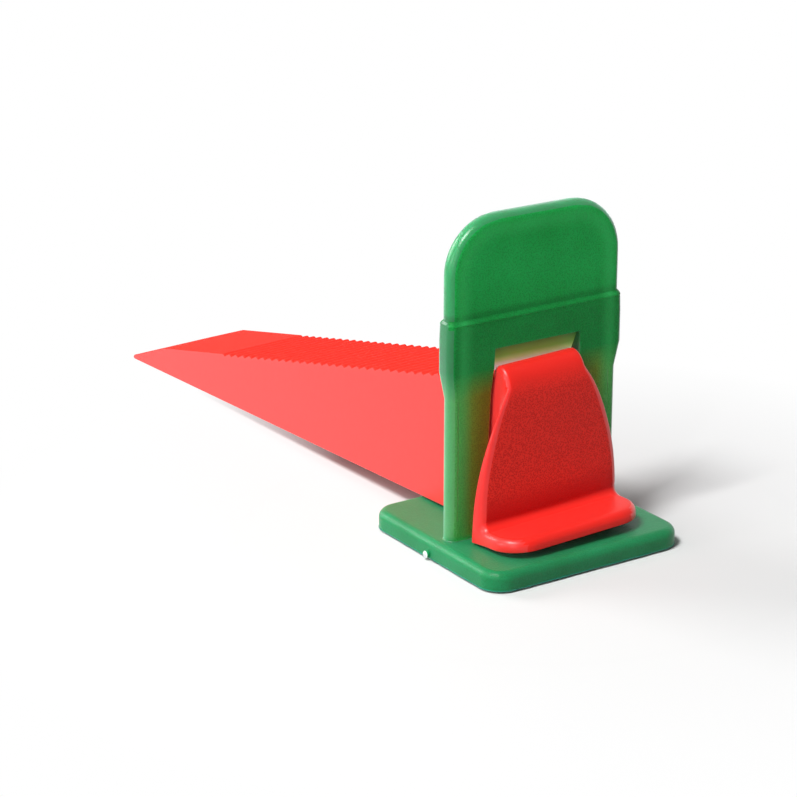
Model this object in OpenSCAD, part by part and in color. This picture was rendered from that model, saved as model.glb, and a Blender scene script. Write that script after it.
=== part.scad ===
// Tile levelling clip with its ridged wedge, millimetres.
// X runs across the web, Y along the wedge towards its tip, Z up from the floor.

/* [Base plate] */
// Width of the base plate across the web
base_w = 28.6; // [26.5:0.1:32]
// Sideways offset of the base plate from the web's middle
base_side = 0.4; // [0:0.05:0.5]
// Reach of the base plate in front of the web's middle
base_front = 12.4; // [9:0.1:16]
// Reach of the base plate behind the web's middle
base_back = 14.4; // [11:0.1:18]
// Thickness of the base plate
base_t = 2.35; // [1.8:0.05:3.2]
// Corner radius of the base plate seen from above
base_corner_r = 2.9; // [2:0.1:5]
// Radius of the rounded upper edge of the base plate
base_edge_r = 1; // [0.3:0.1:1.4]

/* [Web] */
// Height of the handle above the collar's ledge
handle_h = 12.5; // [10:0.1:20]
// Width of the handle above the collar
handle_w = 25; // [22:0.1:25.6]
// Radius of the handle's top corners
handle_corner_r = 7; // [4:0.1:9]
// Thickness of the web
web_t = 2.2; // [1.8:0.1:2.6]
// Radius of the web's long edges
web_edge_r = 0.75; // [0.2:0.05:0.85]
// Width across the two legs below the collar
leg_w = 24.65; // [22:0.05:27]

/* [Collar] */
// Overhang of the collar past each leg
collar_side = 0.52; // [0.2:0.02:1]
// Rise of the collar's faces above the web's faces
collar_proud = 0.36; // [0.2:0.02:0.6]
// Height of the collar's upper ledge above the window
collar_over = 3.9; // [2.5:0.1:7]
// Depth below the window's top at which the collar starts to thin
collar_drop = 2.3; // [0.5:0.1:4]
// Height over which the collar thins into the legs
collar_run = 3.3; // [1.5:0.1:5]
// Radius of the collar's upper ledge
collar_edge_r = 0.3; // [0.1:0.05:0.35]

/* [Window] */
// Clearance between each window side and the wedge
window_gap = 0.54; // [0.4:0.02:1]
// Clearance between the catch edge and the ridges under it
catch_gap = 0.35; // [0.2:0.05:1]
// Height of the bevel that runs back to the catch edge
catch_rise = 3.65; // [1.5:0.05:5]
// Thickness left at the catch edge
catch_t = 0.5; // [0.3:0.05:1]
// Set-back of the catch bevel from the collar's front face
catch_inset = 0.55; // [0.2:0.05:1]

/* [Gate mark] */
// Radius of the moulding gate stub on the base edge
gate_r = 0.45; // [0.2:0.05:0.6]
// Place of the gate stub along the base edge
gate_y = 1.4; // [-6:0.1:6]
// Length by which the gate stub stands out
gate_out = 0.5; // [0.2:0.1:1]

/* [Wedge body] */
// Width of the wedge along its underside
wedge_w = 13.8; // [12:0.1:15]
// Lean of each wedge side from upright, degrees
wedge_draft = 3; // [2:0.1:4]
// Distance from the web's middle to the wedge's tip
wedge_tip = 88.5; // [72:0.5:110]
// Height of the ridge crests at the web's middle above the underside
crest_h = 18.8; // [15:0.05:22]
// Height of the wedge where the tip bevel starts
bevel_h = 3.85; // [2:0.05:5]
// Length of the tip bevel
bevel_run = 9.5; // [4:0.1:16]
// Blunt thickness left at the tip
tip_t = 0.6; // [0.2:0.1:1]

/* [Ridges] */
// Spacing of the ridges along the wedge
ridge_pitch = 1.8; // [1.4:0.05:2.6]
// Depth of the valleys between the ridges
ridge_depth = 0.32; // [0.2:0.02:0.6]
// Run of the steep flank that faces the thumb head
ridge_flank = 0.35; // [0.1:0.05:0.6]
// Run from the crown's back to the first ridge
ridge_lead = 0.5; // [0.4:0.05:2]
// Length of the plain stretch between the last ridge and the tip
tip_plain = 25.5; // [18:0.1:40]

/* [Thumb head] */
// Clearance between the wings and the collar's front face
wing_gap = 1.14; // [0.6:0.02:2]
// Thickness of the wings at their foot
wing_t = 1.75; // [1.2:0.05:2.6]
// Flare of the wings past the wedge's sides
wing_flare = 3.5; // [2:0.1:4]
// Radius of the wings' curved side outline
wing_r = 28.5; // [24:0.5:40]
// Height of the wings' widest place
wing_mid = 2.4; // [1:0.1:4]
// Radius of the wings' rounded front edges
wing_edge_r = 0.9; // [0.3:0.05:1.1]
// Forward lean of the front face from foot to crown
head_lean = 0.4; // [0:0.05:0.8]
// Radius of the rounded crown
crown_r = 1.75; // [1:0.05:2]
// Rise of the crown above the ridge crests
crown_rise = 2.05; // [1:0.05:3]

/* [Toe lip] */
// Reach of the lip in front of the head's front face
lip_reach = 6.05; // [5:0.05:9]
// Thickness of the lip
lip_t = 1.45; // [1.1:0.05:2]
// Overhang of the lip's sides past the wings
lip_side = 0.05; // [0:0.05:0.6]
// Radius of the lip's front corners seen from above
lip_corner_r = 4; // [1.5:0.05:5]
// Radius of the lip's rounded upper edge
lip_edge_r = 0.9; // [0.2:0.05:1.2]
// Radius of the hollow fillet between lip and front face
lip_fillet_r = 1; // [0.5:0.1:4]

/* [Wedge seat] */
// Clearance between the wedge's underside and the base plate's back edge
seat_gap = 0.18; // [0.1:0.01:0.4]
// Roll of the wedge about its length, degrees
seat_roll = 1.5; // [0:0.1:1.6]
// Turn of the wedge seen from above, degrees
seat_yaw = 0.93; // [0:0.01:1]

/* [Hidden] */
$fn = 96;
overlap = base_edge_r / 2;
reach = 2 * base_w;

side_fall = tan(wedge_draft);
wedge_half = wedge_w / 2;
bevel_y = wedge_tip - bevel_run;
crest_fall = (crest_h - bevel_h) / bevel_y;

// The wedge lies on the base plate's back edge and on the floor at its tip
seat_rise = (base_t + seat_gap) / (1 - base_back / wedge_tip);
seat_drop = wedge_half * sin(seat_roll);
seat_pitch = asin(seat_rise / wedge_tip);
seat_x = crest_h / 2 * sin(seat_roll);
seat_z = seat_rise + seat_drop;

collar_w = leg_w + 2 * collar_side;
collar_t = web_t + 2 * collar_proud;
leg_half_t = web_t / 2;
collar_half_t = collar_t / 2;
catch_front = -collar_half_t + catch_inset;
catch_back = collar_half_t - catch_t;
catch_z = seat_z + crest_z(catch_back) + seat_drop + catch_gap;
window_top = catch_z + catch_rise;
collar_low = window_top - collar_drop;
collar_foot = collar_low - collar_run;
collar_top = window_top + collar_over;

base_x = base_w / 2 - base_corner_r;
base_y_front = -base_front + base_corner_r;
base_y_back = base_back - base_corner_r;
handle_x = handle_w / 2 - handle_corner_r;
handle_z = collar_top + handle_h - handle_corner_r;

wing_back = collar_half_t + wing_gap;
wing_half = wedge_half + wing_flare;
head_front = wing_back + wing_t;
crown_y = -head_front - head_lean + crown_r;
crown_h = crest_h + crown_rise;
crown_z = crown_h - crown_r;
face_lean = atan(head_lean / crown_z);
lip_half = wing_half + lip_side - lip_corner_r;
lip_y = -head_front - lip_reach + lip_corner_r;
lip_back = -wing_back;
lip_run = lip_back - lip_y;
ridge_start = crown_y + crown_r + ridge_lead;
ridge_count = floor((wedge_tip - tip_plain - ridge_start) / ridge_pitch) + 1;

function crest_z(y) = crest_h - crest_fall * y;
function ridge_y(i) = ridge_start + i * ridge_pitch;
function window_half(z) = wedge_half - side_fall * (z - seat_z) + window_gap;
function ridge_pair(i) = [
    [ridge_y(i), crest_z(ridge_y(i))],
    [ridge_y(i) - ridge_flank, crest_z(ridge_y(i)) - ridge_depth]
];
ridge_points = [for (i = [ridge_count - 1:-1:0]) each ridge_pair(i)];

// Rectangle with four rounded corners, centred
module rounded_rect(w, d, r) {
    square([w - 2 * r, d], center = true);
    square([w, d - 2 * r], center = true);
    for (sx = [-1, 1])
        for (sy = [-1, 1])
            translate([sx * (w / 2 - r), sy * (d / 2 - r)])
                circle(r);
}

// Half section of a plate edge: flat below, rounded above
module edge_section(run, t, r) {
    square([run, t - r]);
    square([run - r, t]);
    translate([run - r, t - r])
        circle(r);
}

// Half section of a plate rounded on both faces
module rim_section(run, t, r) {
    translate([0, -t / 2])
        square([run - r, t]);
    translate([0, r - t / 2])
        square([run, t - 2 * r]);
    for (s = [-1, 1])
        translate([run - r, s * (t / 2 - r)])
            circle(r);
}

// Profile drawn as (y, z), carried along X on both sides of the middle
module along_x(length) {
    rotate([90, 0, 90])
        linear_extrude(length, center = true)
            children();
}

// Profile drawn as (x, z), carried along Y on both sides of the middle
module along_y(length) {
    rotate([90, 0, 0])
        linear_extrude(length, center = true)
            children();
}

module base_plate() {
    depth = base_y_back - base_y_front;
    translate([-base_x, base_y_front, 0])
        cube([2 * base_x, depth, base_t]);
    for (sx = [0, 1])
        mirror([sx, 0, 0]) {
            translate([base_x, base_y_back, 0])
                rotate([90, 0, 0])
                    linear_extrude(depth)
                        edge_section(base_corner_r, base_t, base_edge_r);
            translate([base_x, base_y_back, 0])
                rotate_extrude(angle = 90)
                    edge_section(base_corner_r, base_t, base_edge_r);
            translate([base_x, base_y_front, 0])
                rotate([0, 0, -90])
                    rotate_extrude(angle = 90)
                        edge_section(base_corner_r, base_t, base_edge_r);
        }
    translate([0, base_y_back, 0])
        along_x(2 * base_x)
            edge_section(base_corner_r, base_t, base_edge_r);
    translate([0, base_y_front, 0])
        mirror([0, 1, 0])
            along_x(2 * base_x)
                edge_section(base_corner_r, base_t, base_edge_r);
}

module handle() {
    translate([0, 0, collar_top - overlap])
        linear_extrude(handle_z - collar_top + overlap)
            rounded_rect(handle_w, web_t, web_edge_r);
    translate([0, 0, handle_z])
        along_x(2 * handle_x)
            rotate(90)
                rim_section(handle_corner_r, web_t, web_edge_r);
    for (sx = [0, 1])
        mirror([sx, 0, 0])
            translate([handle_x, 0, handle_z])
                rotate([90, 0, 0])
                    rotate_extrude(angle = 90)
                        rim_section(handle_corner_r, web_t, web_edge_r);
}

module legs() {
    translate([0, 0, base_t - overlap])
        linear_extrude(collar_low - base_t + overlap)
            rounded_rect(leg_w, web_t, web_edge_r);
}

module collar() {
    shoulder = collar_top - collar_edge_r;
    intersection() {
        translate([0, 0, collar_foot])
            linear_extrude(collar_top - collar_foot)
                rounded_rect(collar_w, collar_t, web_edge_r);
        along_x(reach) {
            polygon([
                [-leg_half_t, collar_foot],
                [leg_half_t, collar_foot],
                [collar_half_t, collar_low],
                [collar_half_t, shoulder],
                [-collar_half_t, shoulder],
                [-collar_half_t, collar_low]
            ]);
            translate([-collar_half_t + collar_edge_r, shoulder - overlap])
                square([collar_t - 2 * collar_edge_r, collar_edge_r + overlap]);
            for (s = [-1, 1])
                translate([s * (collar_half_t - collar_edge_r), shoulder])
                    circle(collar_edge_r);
        }
        along_y(reach)
            polygon([
                [-leg_w / 2, collar_foot],
                [leg_w / 2, collar_foot],
                [collar_w / 2, collar_low],
                [collar_w / 2, collar_top],
                [-collar_w / 2, collar_top],
                [-collar_w / 2, collar_low]
            ]);
    }
}

// Tapered through-window whose top slopes back to a thin catch edge
module window() {
    difference() {
        along_y(reach)
            polygon([
                [-window_half(base_t), base_t],
                [window_half(base_t), base_t],
                [window_half(window_top), window_top],
                [-window_half(window_top), window_top]
            ]);
        along_x(reach)
            polygon([
                [catch_front, window_top + overlap],
                [catch_front, window_top],
                [catch_back, catch_z],
                [collar_half_t, catch_z],
                [collar_half_t, window_top + overlap]
            ]);
    }
}

module gate_stub() {
    translate([base_side - base_w / 2 - gate_out, gate_y, gate_r])
        rotate([0, 90, 0])
            cylinder(h = gate_out + overlap, r = gate_r);
}

module clip() {
    color("SeaGreen") {
        translate([base_side, 0, 0])
            base_plate();
        gate_stub();
        difference() {
            union() {
                legs();
                collar();
                handle();
            }
            window();
        }
    }
}

// Long wedge with its ridged top and rounded crown
module wedge_body() {
    intersection() {
        along_x(reach) {
            polygon(concat(
                [
                    [wedge_tip, 0],
                    [wedge_tip, tip_t],
                    [bevel_y, crest_z(bevel_y)]
                ],
                ridge_points,
                [
                    [crown_y, crown_z],
                    [crown_y - crown_r, crown_z],
                    [-head_front, 0]
                ]
            ));
            translate([crown_y, crown_z])
                circle(crown_r);
        }
        translate([0, wedge_tip / 2, 0])
            along_y(wedge_tip * 2)
                polygon([
                    [-wedge_half, 0],
                    [wedge_half, 0],
                    [wedge_half - side_fall * crown_h, crown_h],
                    [-wedge_half + side_fall * crown_h, crown_h]
                ]);
    }
}

// Lens of two crossing discs whose rounded rims are the wings' front edges;
// it starts a hair in front of the head's face, so that the face cuts it cleanly
module wing_lens() {
    deep = 2 * wing_t;
    hair = wing_edge_r / 40;
    translate([0, -head_front, 0])
        rotate([face_lean, 0, 0])
            intersection_for(s = [-1, 1])
                translate([s * (wing_r - wing_half), deep - hair, wing_mid])
                    rotate([90, 0, 0])
                        rotate_extrude()
                            edge_section(wing_r, deep, wing_edge_r);
}

// Flared wings that thin out upwards into the front face
module wings() {
    intersection() {
        along_x(reach)
            polygon([
                [-head_front, 0],
                [-wing_back, 0],
                [crown_y - crown_r, crown_z]
            ]);
        wing_lens();
    }
}

module lip_edge() {
    edge_section(lip_corner_r, lip_t, lip_edge_r);
}

module lip() {
    translate([-lip_half, lip_y, 0])
        cube([2 * lip_half, lip_run, lip_t]);
    translate([0, lip_y, 0])
        mirror([0, 1, 0])
            along_x(2 * lip_half)
                lip_edge();
    for (sx = [0, 1])
        mirror([sx, 0, 0])
            translate([lip_half, lip_y, 0]) {
                rotate([0, 0, -90])
                    rotate_extrude(angle = 90)
                        lip_edge();
                translate([0, lip_run, 0])
                    rotate([90, 0, 0])
                        linear_extrude(lip_run)
                            lip_edge();
            }
}

// Hollow fillet that carries the front face forward into the lip
module lip_fillet() {
    intersection() {
        along_x(reach)
            difference() {
                translate([-head_front - lip_fillet_r, lip_t - overlap])
                    square([lip_fillet_r + overlap, lip_fillet_r + overlap]);
                translate([-head_front - lip_fillet_r, lip_t + lip_fillet_r])
                    circle(lip_fillet_r);
            }
        intersection_for(s = [-1, 1])
            translate([s * (wing_r - wing_half), 0, wing_mid])
                rotate([90, 0, 0])
                    cylinder(h = reach, r = wing_r - wing_edge_r, center = true);
    }
}

module wedge() {
    color("Tomato")
        translate([seat_x, 0, seat_z])
            rotate([0, 0, seat_yaw])
                rotate([-seat_pitch, 0, 0])
                    rotate([0, -seat_roll, 0]) {
                        wedge_body();
                        wings();
                        lip();
                        lip_fillet();
                    }
}

clip();
wedge();
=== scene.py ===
import math

import bmesh
import bpy
from mathutils import Matrix, Vector
from mathutils.geometry import interpolate_bezier


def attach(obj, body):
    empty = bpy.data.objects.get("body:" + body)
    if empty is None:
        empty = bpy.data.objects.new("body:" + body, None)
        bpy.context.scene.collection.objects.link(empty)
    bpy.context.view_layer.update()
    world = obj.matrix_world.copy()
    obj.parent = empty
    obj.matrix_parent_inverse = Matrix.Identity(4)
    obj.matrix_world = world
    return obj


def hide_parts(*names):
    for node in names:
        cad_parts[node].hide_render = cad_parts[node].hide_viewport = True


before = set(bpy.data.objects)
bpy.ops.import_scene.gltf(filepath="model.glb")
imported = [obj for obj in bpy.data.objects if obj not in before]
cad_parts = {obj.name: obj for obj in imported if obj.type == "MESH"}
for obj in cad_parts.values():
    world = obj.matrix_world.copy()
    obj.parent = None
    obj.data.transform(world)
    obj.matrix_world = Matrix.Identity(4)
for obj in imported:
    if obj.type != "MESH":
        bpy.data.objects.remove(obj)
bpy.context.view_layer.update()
print("frame loaded:", ", ".join(sorted(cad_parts)))

mm = 0.001  # pieces are drawn in millimetres and brought to metres when they are done
near = 0.001  # heights closer than this, in mm, count as the same
standing = 0.3  # a face whose normal rises less than this counts as upright
roundSteps = 4  # facets in a quarter-round rim
smoothAngle = 35  # degrees; edges that bend more stay sharp


# modelling by hand, in words

def clearSelection():
    if bpy.context.object and bpy.context.object.mode != "OBJECT":
        bpy.ops.object.mode_set(mode="OBJECT")
    bpy.ops.object.select_all(action="DESELECT")


def choosePiece(piece):
    clearSelection()
    piece.select_set(True)
    bpy.context.view_layer.objects.active = piece


def editPiece(piece):
    choosePiece(piece)
    bpy.ops.object.mode_set(mode="EDIT")


def pick(piece, kind, test):
    # selects the edges or faces that pass the test
    bpy.ops.mesh.select_mode(type=kind)
    bpy.ops.mesh.select_all(action="DESELECT")
    shape = bmesh.from_edit_mesh(piece.data)
    parts = {"EDGE": shape.edges, "FACE": shape.faces}[kind]
    chosen = [part for part in parts if test(part)]
    for part in chosen:
        part.select_set(True)
    shape.select_flush_mode()
    bmesh.update_edit_mesh(piece.data)
    return len(chosen)


def softenEdges(piece, test, radius, steps):
    editPiece(piece)
    count = pick(piece, "EDGE", test)
    bpy.ops.mesh.bevel(offset=radius, segments=steps, affect="EDGES", clamp_overlap=True)
    bpy.ops.object.mode_set(mode="OBJECT")
    print("  softened", count, "edges by", radius, "mm")


def joinPiece(piece, other, operation):
    clearSelection()
    bpy.context.view_layer.objects.active = piece
    cut = piece.modifiers.new(operation, "BOOLEAN")
    cut.operation = operation
    cut.solver = "EXACT"
    cut.object = other
    bpy.ops.object.modifier_apply(modifier=cut.name)
    bpy.data.objects.remove(other)


def drawBlock(size, middle):
    # a cube stretched to its size and moved to its place in edit mode
    clearSelection()
    bpy.ops.mesh.primitive_cube_add(size=1)
    block = bpy.context.object
    bpy.ops.object.mode_set(mode="EDIT")
    bpy.ops.transform.resize(value=size, center_override=(0, 0, 0))
    bpy.ops.transform.translate(value=middle)
    bpy.ops.object.mode_set(mode="OBJECT")
    return block


def drawLoft(name, rings):
    # a round face is laid on the first ring, then extruded from ring to ring
    clearSelection()
    bpy.ops.mesh.primitive_circle_add(vertices=len(rings[0]), fill_type="NGON")
    piece = bpy.context.object
    piece.name = name
    piece.data.name = name
    marks = piece.data.attributes.new("ringPlace", "INT", "POINT")
    for number in range(len(rings[0])):
        marks.data[number].value = number
    bpy.ops.object.mode_set(mode="EDIT")
    bpy.ops.mesh.select_mode(type="FACE")
    bpy.ops.mesh.select_all(action="SELECT")
    layRing(piece, rings[0])
    for ring in rings[1:]:
        bpy.ops.mesh.extrude_region_move()
        layRing(piece, ring)
    bpy.ops.mesh.select_all(action="SELECT")
    bpy.ops.mesh.normals_make_consistent(inside=False)
    bpy.ops.object.mode_set(mode="OBJECT")
    piece.data.attributes.remove(piece.data.attributes["ringPlace"])
    return piece


def layRing(piece, ring):
    shape = bmesh.from_edit_mesh(piece.data)
    place = shape.verts.layers.int["ringPlace"]
    for vert in shape.verts:
        if vert.select:
            vert.co = ring[vert[place]]
    bmesh.update_edit_mesh(piece.data)


def rimSteps(wide, deep, endGap=None):
    # inset from the side and drop from the face along a quarter-round rim; closer to the
    # plate's end than endGap the drop follows the end's own rounding
    steps = []
    for step in range(roundSteps + 1):
        angle = math.pi / 2 * step / roundSteps
        inset = wide * (1 - math.cos(angle))
        drop = deep * (1 - math.sin(angle))
        if endGap is not None and inset > endGap:
            drop = deep - math.sqrt(deep ** 2 - (deep - endGap) ** 2)
        steps.append((inset, drop))
    return steps


def plateRing(front, back, halfAt, radius, endGap=None):
    # one ring round a plate with rounded rims; front and back are its middle points,
    # halfAt gives the half width at an inset from the outline
    through = (back - front).normalized()
    rim = rimSteps(radius, radius, endGap)
    ring = []
    for side in (1, -1):
        frontRun = [front + through * drop + Vector((side * halfAt(inset), 0, 0)) for inset, drop in rim]
        backRun = [back - through * drop + Vector((side * halfAt(inset), 0, 0)) for inset, drop in rim]
        run = frontRun[::-1] + backRun
        ring += run if side == 1 else run[::-1]
    return ring


def shareOf(run, full):
    return min(1, max(0, run / full))


def bringHome(piece, node):
    # millimetres to metres, soft shading, and onto its body in place of the plain node
    choosePiece(piece)
    piece.scale = (mm, mm, mm)
    bpy.ops.object.transform_apply(location=True, rotation=True, scale=True)
    bpy.ops.object.shade_smooth_by_angle(angle=math.radians(smoothAngle))
    evenOut = piece.modifiers.new("even normals", "WEIGHTED_NORMAL")
    evenOut.keep_sharp = True
    bpy.ops.object.modifier_apply(modifier=evenOut.name)
    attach(piece, node)
    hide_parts(node)
    print(piece.name, "done:", len(piece.data.polygons), "faces")


# the green clip

clipSizes = {
    "baseWide": 28.6, "baseSide": 0.4, "baseFront": 12.4, "baseBack": 14.4, "baseThick": 2.35,
    "baseCorner": 2.9, "cornerSteps": 10, "baseRound": 1.0, "baseSteps": 6,
    "baseFoot": 0.15, "footSteps": 2,
    "legWide": 24.65, "webThick": 2.2, "webRound": 0.95, "webSunk": 0.6,
    "collarFoot": 20.4, "collarLow": 23.7, "collarTop": 29.9, "collarWide": 25.69, "collarThick": 2.92,
    "ledgeRise": 0.35,
    "ledgeRows": [(-2.3, 0, 0), (-0.6, -0.16, 0), (-0.42, -0.2, -0.07), (-0.3, -0.18, 0.05),
                  (-0.18, -0.22, 0.03), (0.0, -0.34, -0.2), (0.18, -0.58, -0.58)],  # rise, wider, thicker
    "handleWide": 25.0, "handleCorner": 7.0, "webTop": 42.4, "cornerRows": 14,
    "windowFootHalf": 7.485, "windowTopHalf": 6.245, "windowTop": 26.0,
    "windowRound": 0.12, "windowSteps": 2,
    "windowBend": 25,  # degrees; the window's edges bend more than this
    "catchLow": 22.35, "catchFront": -0.91, "catchBack": 0.96, "catchSunk": 1.0,
    "footFillet": 0.35, "filletSteps": 3,
    "gateRadius": 0.45, "gateHigh": 0.495, "gateAlong": 1.4, "gateOut": 0.5, "gateSides": 20,
    "gateRound": 0.12, "gateSteps": 2,
    "flashOut": 0.07, "flashThick": 0.05, "flashSteps": 240, "flashLeast": 0.15, "flashMean": 0.55,
    "flashWaves": [(9, 0.35, 0), (23, 0.245, 1), (41, 0.21, 2)],  # waves round the plate, height, shift
    "seamAcross": (-11.3, 11.0), "seamWide": 0.11, "seamDeep": 0.1, "seamFrom": 5.0, "seamTo": 20.2,
}


def webRing(height, wide, thick, cornerDrop=None, endGap=None):
    half = wide / 2
    corner = clipSizes["handleCorner"]

    def halfAt(inset):
        if cornerDrop is None:
            return half - inset
        inside = (corner - inset) ** 2 - cornerDrop ** 2
        return half - corner + math.sqrt(max(inside, 0))

    front = Vector((0, -thick / 2, height))
    back = Vector((0, thick / 2, height))
    return plateRing(front, back, halfAt, clipSizes["webRound"], endGap)


def drawWeb():
    s = clipSizes
    rings = [
        webRing(s["baseThick"] - s["webSunk"], s["legWide"], s["webThick"]),
        webRing(s["collarFoot"], s["legWide"], s["webThick"]),
        webRing(s["collarLow"], s["collarWide"], s["collarThick"]),
    ]
    # the collar's top is a fine bead, then a soft ramp to the handle
    for rise, wider, thicker in s["ledgeRows"]:
        rings.append(webRing(s["collarTop"] + rise, s["collarWide"] + wider, s["collarThick"] + thicker))
    cornerFoot = s["webTop"] - s["handleCorner"]
    rings.append(webRing(s["collarTop"] + s["ledgeRise"], s["handleWide"], s["webThick"]))
    rings.append(webRing(cornerFoot, s["handleWide"], s["webThick"]))
    rises = []
    for row in range(1, s["cornerRows"]):
        rise = s["handleCorner"] * math.sin(math.pi / 2 * row / s["cornerRows"])
        if rise < s["handleCorner"] - s["webRound"]:
            rises.append(rise)
    for inset, drop in reversed(rimSteps(s["webRound"], s["webRound"])):
        rises.append(s["handleCorner"] - inset)
    for rise in rises:
        gap = s["handleCorner"] - rise
        rings.append(webRing(cornerFoot + rise, s["handleWide"], s["webThick"], rise, gap))
    return drawLoft("web", rings)


def drawWindowCutter():
    # a block cut back by slanting planes to the window's tapered form
    s = clipSizes
    low = s["baseThick"] - 2 * s["webSunk"]
    size = (s["legWide"], 2 * s["collarThick"], s["windowTop"] - low)
    cutter = drawBlock(size, (0, 0, (s["windowTop"] + low) / 2))
    lean = math.atan2(s["windowFootHalf"] - s["windowTopHalf"], s["windowTop"] - s["baseThick"])
    editPiece(cutter)
    for side in (1, -1):
        bpy.ops.mesh.select_all(action="SELECT")
        bpy.ops.mesh.bisect(
            plane_co=(side * s["windowFootHalf"], 0, s["baseThick"]),
            plane_no=(side * math.cos(lean), 0, math.sin(lean)),
            use_fill=True, clear_outer=True,
        )
    bpy.ops.object.mode_set(mode="OBJECT")
    return cutter


def drawCatch():
    # the tongue of plastic left under the window's top, bevelled to a thin edge
    s = clipSizes
    inside = s["windowTop"] + s["catchSunk"]
    half = s["legWide"] / 2
    outline = [
        (s["catchFront"], inside), (s["catchFront"], s["windowTop"]), (s["catchBack"], s["catchLow"]),
        (s["collarThick"] / 2, s["catchLow"]), (s["collarThick"] / 2, inside),
    ]
    rings = [[Vector((x, y, z)) for y, z in outline] for x in (-half, half)]
    return drawLoft("catch", rings)


def drawBase():
    s = clipSizes
    size = (s["baseWide"], s["baseFront"] + s["baseBack"], s["baseThick"])
    base = drawBlock(size, (s["baseSide"], (s["baseBack"] - s["baseFront"]) / 2, s["baseThick"] / 2))

    def upright(edge):
        return abs((edge.verts[0].co - edge.verts[1].co).z) > s["baseThick"] / 2

    def rimAt(height):
        def test(edge):
            level = all(abs(vert.co.z - height) < near for vert in edge.verts)
            return level and any(abs(face.normal.z) < standing for face in edge.link_faces)
        return test

    softenEdges(base, upright, s["baseCorner"], s["cornerSteps"])
    softenEdges(base, rimAt(s["baseThick"]), s["baseRound"], s["baseSteps"])
    softenEdges(base, rimAt(0), s["baseFoot"], s["footSteps"])
    return base


def drawGate():
    s = clipSizes
    leftEdge = s["baseSide"] - s["baseWide"] / 2
    clearSelection()
    bpy.ops.mesh.primitive_cylinder_add(
        vertices=s["gateSides"], radius=s["gateRadius"], depth=s["gateOut"] * 2,
        rotation=(0, math.pi / 2, 0), location=(leftEdge, s["gateAlong"], s["gateHigh"]),
    )
    gate = bpy.context.object
    bpy.ops.object.transform_apply(location=True, rotation=True, scale=True)

    def outerRim(edge):
        return all(abs(vert.co.x - leftEdge + s["gateOut"]) < near for vert in edge.verts)

    softenEdges(gate, outerRim, s["gateRound"], s["gateSteps"])
    return gate


def drawFlash():
    # thin, uneven fin of plastic pressed out along the base plate's lower edge
    s = clipSizes
    corner = s["baseCorner"]
    halfX = s["baseWide"] / 2
    halfY = (s["baseFront"] + s["baseBack"]) / 2
    middle = (s["baseBack"] - s["baseFront"]) / 2
    low = []
    for step in range(s["flashSteps"]):
        turn = 2 * math.pi * (step + 0.5) / s["flashSteps"]
        ragged = sum(high * math.sin(count * turn + shift) for count, high, shift in s["flashWaves"])
        out = corner + s["flashOut"] * max(s["flashLeast"], s["flashMean"] + ragged)
        stretch = 1 / max(abs(math.cos(turn)), abs(math.sin(turn)))
        edgeX = stretch * math.cos(turn) * halfX
        edgeY = stretch * math.sin(turn) * halfY
        coreX = min(max(edgeX, corner - halfX), halfX - corner)
        coreY = min(max(edgeY, corner - halfY), halfY - corner)
        outward = Vector((edgeX - coreX, edgeY - coreY, 0)).normalized() * out
        low.append(Vector((s["baseSide"] + coreX, middle + coreY, 0)) + outward)
    high = [point + Vector((0, 0, s["flashThick"])) for point in low]
    return drawLoft("flash", [low, high])


def drawSeam(across):
    # cutter for the faint line that the tool's insert leaves on a leg's front
    s = clipSizes
    size = (s["seamWide"], 2 * s["seamDeep"], s["seamTo"] - s["seamFrom"])
    return drawBlock(size, (across, -s["webThick"] / 2, (s["seamFrom"] + s["seamTo"]) / 2))


def buildClip():
    s = clipSizes
    web = drawWeb()
    for across in s["seamAcross"]:
        joinPiece(web, drawSeam(across), "DIFFERENCE")
    cutter = drawWindowCutter()
    joinPiece(cutter, drawCatch(), "DIFFERENCE")
    joinPiece(web, cutter, "DIFFERENCE")

    def windowRim(edge):
        slack = 0.05  # mm past the window's own lines
        if len(edge.link_faces) != 2 or not edge.is_convex:
            return False
        middle = (edge.verts[0].co + edge.verts[1].co) / 2
        if abs(middle.x) > s["windowFootHalf"] + slack:
            return False
        if not s["baseThick"] <= middle.z <= s["windowTop"] + slack:
            return False
        bend = edge.link_faces[0].normal.angle(edge.link_faces[1].normal, 0)
        return bend > math.radians(s["windowBend"])

    softenEdges(web, windowRim, s["windowRound"], s["windowSteps"])
    base = drawBase()
    joinPiece(base, drawFlash(), "UNION")
    joinPiece(base, drawGate(), "UNION")
    joinPiece(base, web, "UNION")

    def footLine(edge):
        if len(edge.link_faces) != 2 or edge.is_convex:
            return False
        if any(abs(vert.co.z - s["baseThick"]) > near for vert in edge.verts):
            return False
        return min(abs(face.normal.z) for face in edge.link_faces) < standing

    softenEdges(base, footLine, s["footFillet"], s["filletSteps"])
    base.name = "clipMoulding"
    base.data.name = "clipMoulding"
    print("clip drawn")
    return base


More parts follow.
